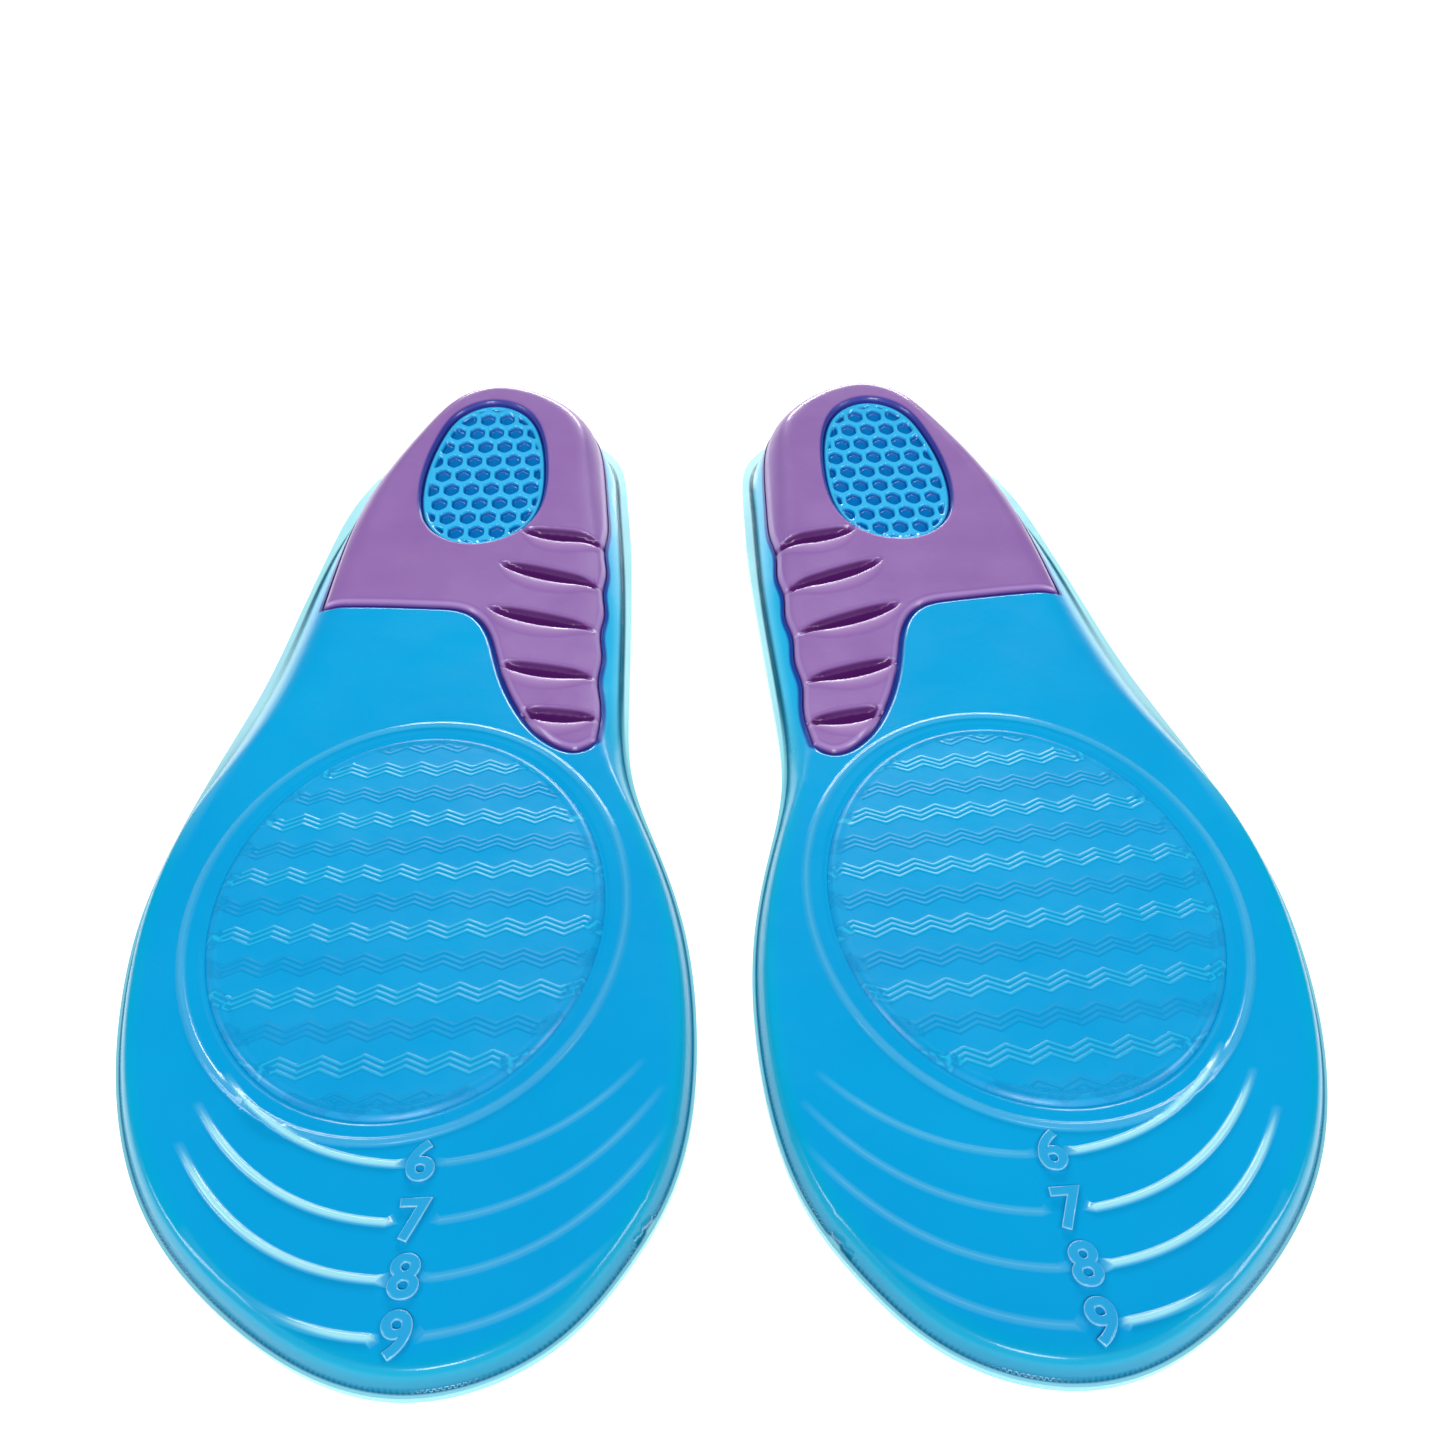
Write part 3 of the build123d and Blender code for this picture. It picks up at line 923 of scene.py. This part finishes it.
def gel_base_material():
    material, nodes, links, shader = new_material("gel_base_blue")
    wall = mark_value(nodes, "wall")
    # Heel edge, outside in: pale thin flange, a dark teal line of painted shade at the foot of
    # the wall, then a painted highlight of bright cyan fading to azure up the wall.
    heel_edge = ramp(nodes, links, wall, -4.0, 8.0, [
        (-0.9, SKIRT_PALE), (-0.5, FOOT_SHADE_TEAL), (0.25, FOOT_SHADE_TEAL), (0.9, WALL_HIGHLIGHT_CYAN), (2.2, AZURE_WALL_HIGHLIGHT),
        (4.5, AZURE)])
    # Forefoot edge: pale thin flange, then a dark line of painted shade at the foot of the wall,
    # and painted shade that lightens up the wall to azure on top.
    fore_edge = ramp(nodes, links, wall, -4.0, 8.0, [
        (-0.35, (0.26, 0.72, 0.88)), (-0.1, (0.0, 0.16, 0.32)), (0.2, (0.0, 0.27, 0.48)),
        (1.0, (0.0, 0.38, 0.62)), (2.2, (0.0, 0.38, 0.70)), (4.0, AZURE)])
    toe_ward = ramp(nodes, links, mark_value(nodes, "station"), 0.0, 262.0,
                    shares((118.0, 0.0), (150.0, 1.0)))
    colour = mixed(nodes, links, toe_ward, heel_edge, fore_edge)
    # milky edge with a painted highlight on the outer side of the arch
    colour = mixed(nodes, links, mark_value(nodes, "pale"), colour, (0.40, 0.72, 0.86))
    # painted shade in the groove along the shell's edge
    seam = ramp(nodes, links, mark_value(nodes, "seam"), 0.0, 3.0, shares((0.7, 1.0), (1.3, 0.0)))
    colour = mixed(nodes, links, seam, colour, SEAM_SHADE_BLUE)
    # painted highlight on the crests of the trim lines, the pad ring and the digits' bevels
    crest = ramp(nodes, links, mark_value(nodes, "ridge_highlight"), 0.0, 1.0,
                 shares((0.0, 0.0), (0.3, 0.14), (0.5, 0.5), (0.8, 0.95)))
    colour = mixed(nodes, links, crest, colour, (0.36, 0.84, 0.95))
    colour = mixed(nodes, links, 1.0, colour, toe_tint(nodes, links), "MULTIPLY")
    cloud = ramp(nodes, links, noise(nodes, links, 28.0), 0.2, 0.8, [
        (0.2, (0.86, 0.88, 0.94)), (0.8, (1.0, 1.0, 1.0))])
    colour = mixed(nodes, links, 1.0, colour, cloud, "MULTIPLY")
    links.new(colour, shader.inputs["Base Color"])
    finish_gel(nodes, links, shader, 0.22, 0.15)
    return material


def arch_support_material():
    material, nodes, links, shader = new_material("arch_support_purple")
    # painted shade darkening the flutes towards their bottoms
    colour = ramp(nodes, links, mark_value(nodes, "flute"), 0.0, 1.0, [
        (0.1, PURPLE), (0.45, PURPLE_SHADE), (1.0, (0.07, 0.006, 0.11))])
    edge = mark_value(nodes, "edge")
    # painted highlight along the shell's rounded outer edge
    rim = ramp(nodes, links, edge, 0.0, 3.0,
               shares((0.5, 0.0), (0.8, 0.6), (1.1, 0.6), (1.5, 0.0)))
    colour = mixed(nodes, links, rim, colour, PURPLE_HIGHLIGHT)
    # painted shade where the shell's edge meets the gel
    foot = ramp(nodes, links, edge, 0.0, 3.0, shares((0.15, 1.0), (0.5, 0.0)))
    colour = mixed(nodes, links, foot, colour, (0.06, 0.02, 0.22))
    # painted shade in the groove round the window
    frame = ramp(nodes, links, mark_value(nodes, "frame"), 0.0, 3.0,
                 shares((0.55, 1.0), (1.0, 0.0)))
    colour = mixed(nodes, links, frame, colour, (0.03, 0.04, 0.30))
    # painted highlight on the raised lip beside each flute
    colour = mixed(nodes, links, mark_value(nodes, "lip"), colour, (0.36, 0.21, 0.48))
    cloud = ramp(nodes, links, noise(nodes, links, 45.0), 0.2, 0.8, [
        (0.2, (0.88, 0.85, 0.90)), (0.8, (1.0, 1.0, 1.0))])
    colour = mixed(nodes, links, 1.0, colour, cloud, "MULTIPLY")
    links.new(colour, shader.inputs["Base Color"])
    finish_gel(nodes, links, shader, 0.34, 0.25)
    return material


def heel_cushion_material():
    material, nodes, links, shader = new_material("heel_cushion_blue")
    # lighter on the cell walls, with painted shade darkening the pits
    colour = ramp(nodes, links, mark_value(nodes, "cell"), 0.0, 1.0, [
        (0.05, WALL_PALE), (0.25, AZURE), (0.6, CELL_SHADE), (1.0, CELL_FLOOR_SHADE)])
    # painted shade in the groove round the window
    edge = ramp(nodes, links, mark_value(nodes, "edge"), 0.0, 3.0, shares((0.4, 1.0), (0.7, 0.0)))
    colour = mixed(nodes, links, edge, colour, SEAM_SHADE_BLUE)
    links.new(colour, shader.inputs["Base Color"])
    finish_gel(nodes, links, shader, 0.16)
    return material


def ball_cushion_material():
    material, nodes, links, shader = new_material("ball_cushion_blue")
    # painted shade at the foot of each rib and a painted highlight on its crest
    colour = ramp(nodes, links, mark_value(nodes, "rib"), 0.0, 1.0, [
        (0.0, AZURE), (0.3, (0.0, 0.29, 0.64)), (0.6, AZURE), (1.0, (0.02, 0.52, 0.80))])
    cloud = ramp(nodes, links, noise(nodes, links, 28.0), 0.2, 0.8, [
        (0.2, (0.86, 0.88, 0.94)), (0.8, (1.0, 1.0, 1.0))])
    colour = mixed(nodes, links, 1.0, colour, cloud, "MULTIPLY")
    colour = mixed(nodes, links, 1.0, colour, toe_tint(nodes, links), "MULTIPLY")
    links.new(colour, shader.inputs["Base Color"])
    finish_gel(nodes, links, shader, 0.34, 0.08)
    return material


def top_cover_material():
    """Knitted fabric: rows of small stitches, in two close blues."""
    material, nodes, links, shader = new_material("top_cover_knit")
    place = nodes.new("ShaderNodeTexCoord")
    waves = []
    for direction in ("X", "Y"):
        wave = nodes.new("ShaderNodeTexWave")
        wave.bands_direction = direction
        wave.inputs["Scale"].default_value = 420.0
        wave.inputs["Distortion"].default_value = 1.2
        wave.inputs["Detail"].default_value = 1.0
        links.new(place.outputs["Object"], wave.inputs["Vector"])
        waves.append(wave.outputs["Fac"])
    weave = nodes.new("ShaderNodeMath")
    weave.operation = "MULTIPLY"
    links.new(waves[0], weave.inputs[0])
    links.new(waves[1], weave.inputs[1])
    colour = ramp(nodes, links, weave.outputs[0], 0.0, 1.0, [
        (0.0, (0.012, 0.045, 0.13)), (0.5, (0.03, 0.11, 0.27)), (1.0, (0.07, 0.2, 0.42))])
    links.new(colour, shader.inputs["Base Color"])
    shader.inputs["Roughness"].default_value = 0.88
    shader.inputs["Sheen Weight"].default_value = 0.25
    add_bump(nodes, links, shader, weave.outputs[0], 0.5, 0.0004)
    return material


# ---- size numbers ---------------------------------------------------------------------------
def size_numbers(side, base):
    """Raised size numbers between the halves of the trim lines, joined to the gel."""
    for text, station in zip(TRIM_SIZES, TRIM_STATIONS):
        curve = bpy.data.curves.new(f"{side}_size_{text}", "FONT")
        curve.body = text
        curve.size = DIGIT_SIZE * MM
        curve.align_x = "CENTER"
        curve.align_y = "CENTER"
        curve.extrude = DIGIT_RAISE * MM
        curve.offset = DIGIT_BOLD * MM
        curve.bevel_depth = DIGIT_ROUNDING * MM
        curve.bevel_resolution = 3
        curve.resolution_u = 6
        letter = bpy.data.objects.new(curve.name, curve)
        bpy.context.scene.collection.objects.link(letter)
        plan = np.array([[TRIM_MIDDLE, -station]])
        height = float(sole_height(plan)[0])
        where = placed(np.c_[plan, [height]], side)[0]
        letter.location = where.tolist()
        letter.rotation_euler = (0.0, 0.0, math.radians(YAW[side]))
        bpy.context.view_layer.update()
        mesh = bpy.data.meshes.new_from_object(letter.evaluated_get(
            bpy.context.evaluated_depsgraph_get()))
        mesh.transform(letter.matrix_world)
        bpy.data.objects.remove(letter)
        piece = bpy.data.objects.new(f"{side}_size_{text}", mesh)
        bpy.context.scene.collection.objects.link(piece)
        tops = np.array([corner.co.z for corner in mesh.vertices])
        # the digits' bevels get the gel's painted highlight through the ridge mark
        drop = np.clip((tops.max() - tops) / (DIGIT_ROUNDING * MM), 0.0, 1.0)
        full = np.ones(len(tops))
        for mark, values in (("wall", 20.0 * full), ("station", station * full),
                             ("ridge_highlight", DIGIT_FACE_HIGHLIGHT + DIGIT_SIDE_HIGHLIGHT * bump(2.0 * drop - 1.0)),
                             ("seam", 9.0 * full)):
            layer = mesh.attributes.new(mark, "FLOAT", "POINT")
            layer.data.foreach_set("value", values.astype(np.float32))
        mesh.materials.clear()
        mesh.materials.append(base.data.materials[0])
        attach(piece, side + "_insole")


# ---- stage ------------------------------------------------------------------------------
EYE_DISTANCE = 0.27374
EYE_ELEVATION = math.radians(40.5)
LOOK_AT = Vector((0.00128, 0.00517, 0.0))
LENS = 32.39
SENSOR = 36.0


def add_camera():
    data = bpy.data.cameras.new("camera")
    data.lens = LENS
    data.sensor_width = SENSOR
    data.clip_start = 0.01
    camera = bpy.data.objects.new("camera", data)
    bpy.context.scene.collection.objects.link(camera)
    away = Vector((0.0, -math.cos(EYE_ELEVATION), math.sin(EYE_ELEVATION)))
    camera.location = LOOK_AT + EYE_DISTANCE * away
    camera.rotation_euler = (math.pi / 2 - EYE_ELEVATION, 0.0, 0.0)
    bpy.context.scene.camera = camera


def add_floor():
    mesh = bpy.data.meshes.new("floor")
    mesh.from_pydata([(-6, -6, 0), (6, -6, 0), (6, 6, 0), (-6, 6, 0)], [], [(0, 1, 2, 3)])
    floor = bpy.data.objects.new("floor", mesh)
    floor.location = (0.0, 0.0, -0.0002)
    bpy.context.scene.collection.objects.link(floor)
    material, _, _, shader = new_material("floor_white")
    shader.inputs["Base Color"].default_value = (0.6, 0.6, 0.6, 1.0)
    shader.inputs["Roughness"].default_value = 1.0
    shader.inputs["Specular IOR Level"].default_value = 0.0
    shader.inputs["Emission Color"].default_value = (1.0, 1.0, 1.0, 1.0)
    shader.inputs["Emission Strength"].default_value = 0.8
    mesh.materials.append(material)


def add_light(name, place, target, size, power):
    data = bpy.data.lights.new(name, "AREA")
    data.shape = "RECTANGLE"
    data.size, data.size_y = size
    data.energy = power
    light = bpy.data.objects.new(name, data)
    light.location = place
    light.rotation_euler = (Vector(target) - Vector(place)).to_track_quat("-Z", "Y").to_euler()
    bpy.context.scene.collection.objects.link(light)


HORIZON = 0.75                            # brightness of the backdrop near the floor


def add_lights():
    add_light("back_strip", (0.0, 1.05, 0.34), (0, 0, 0), (0.8, 0.18), 9.0)
    add_light("front_box", (0.0, -1.1, 1.15), (0, 0, 0), (0.5, 0.4), 13.0)
    add_light("left_box", (-0.95, -0.1, 0.75), (0, 0, 0), (0.3, 0.4), 4.0)
    add_light("right_box", (0.95, -0.1, 0.75), (0, 0, 0), (0.3, 0.4), 4.0)
    world = bpy.data.worlds.new("studio")
    world.use_nodes = True
    nodes, links = world.node_tree.nodes, world.node_tree.links
    place, split = nodes.new("ShaderNodeTexCoord"), nodes.new("ShaderNodeSeparateXYZ")
    links.new(place.outputs["Generated"], split.inputs["Vector"])
    front = span(nodes, links, split.outputs["Y"], (0.35, -0.35), (0.03, 0.5))
    low = span(nodes, links, split.outputs["Z"], (0.1, 0.24), (HORIZON, 0.0))
    level = nodes.new("ShaderNodeMath")
    level.operation = "MAXIMUM"
    links.new(front, level.inputs[0])
    links.new(low, level.inputs[1])
    links.new(level.outputs[0], nodes["Background"].inputs["Strength"])
    nodes["Background"].inputs["Color"].default_value = (1.0, 1.0, 1.0, 1.0)
    bpy.context.scene.world = world
    bpy.context.scene.view_settings.view_transform = "Standard"


# ---- build ------------------------------------------------------------------------------
BUILDERS = {
    "gel_base": (gel_base, gel_base_material),
    "arch_support": (arch_support, arch_support_material),
    "heel_cushion": (heel_cushion, heel_cushion_material),
    "ball_cushion": (ball_cushion, ball_cushion_material),
    "top_cover": (top_cover, top_cover_material),
}


def main():
    add_camera()
    add_floor()
    add_lights()
    pieces = {}
    for name, (build, paint) in BUILDERS.items():
        shape, material = build(), paint()
        for side in SIDES:
            pieces[side, name] = add_piece(name, side, shape, material)
    for side in SIDES:
        size_numbers(side, pieces[side, "gel_base"])


main()
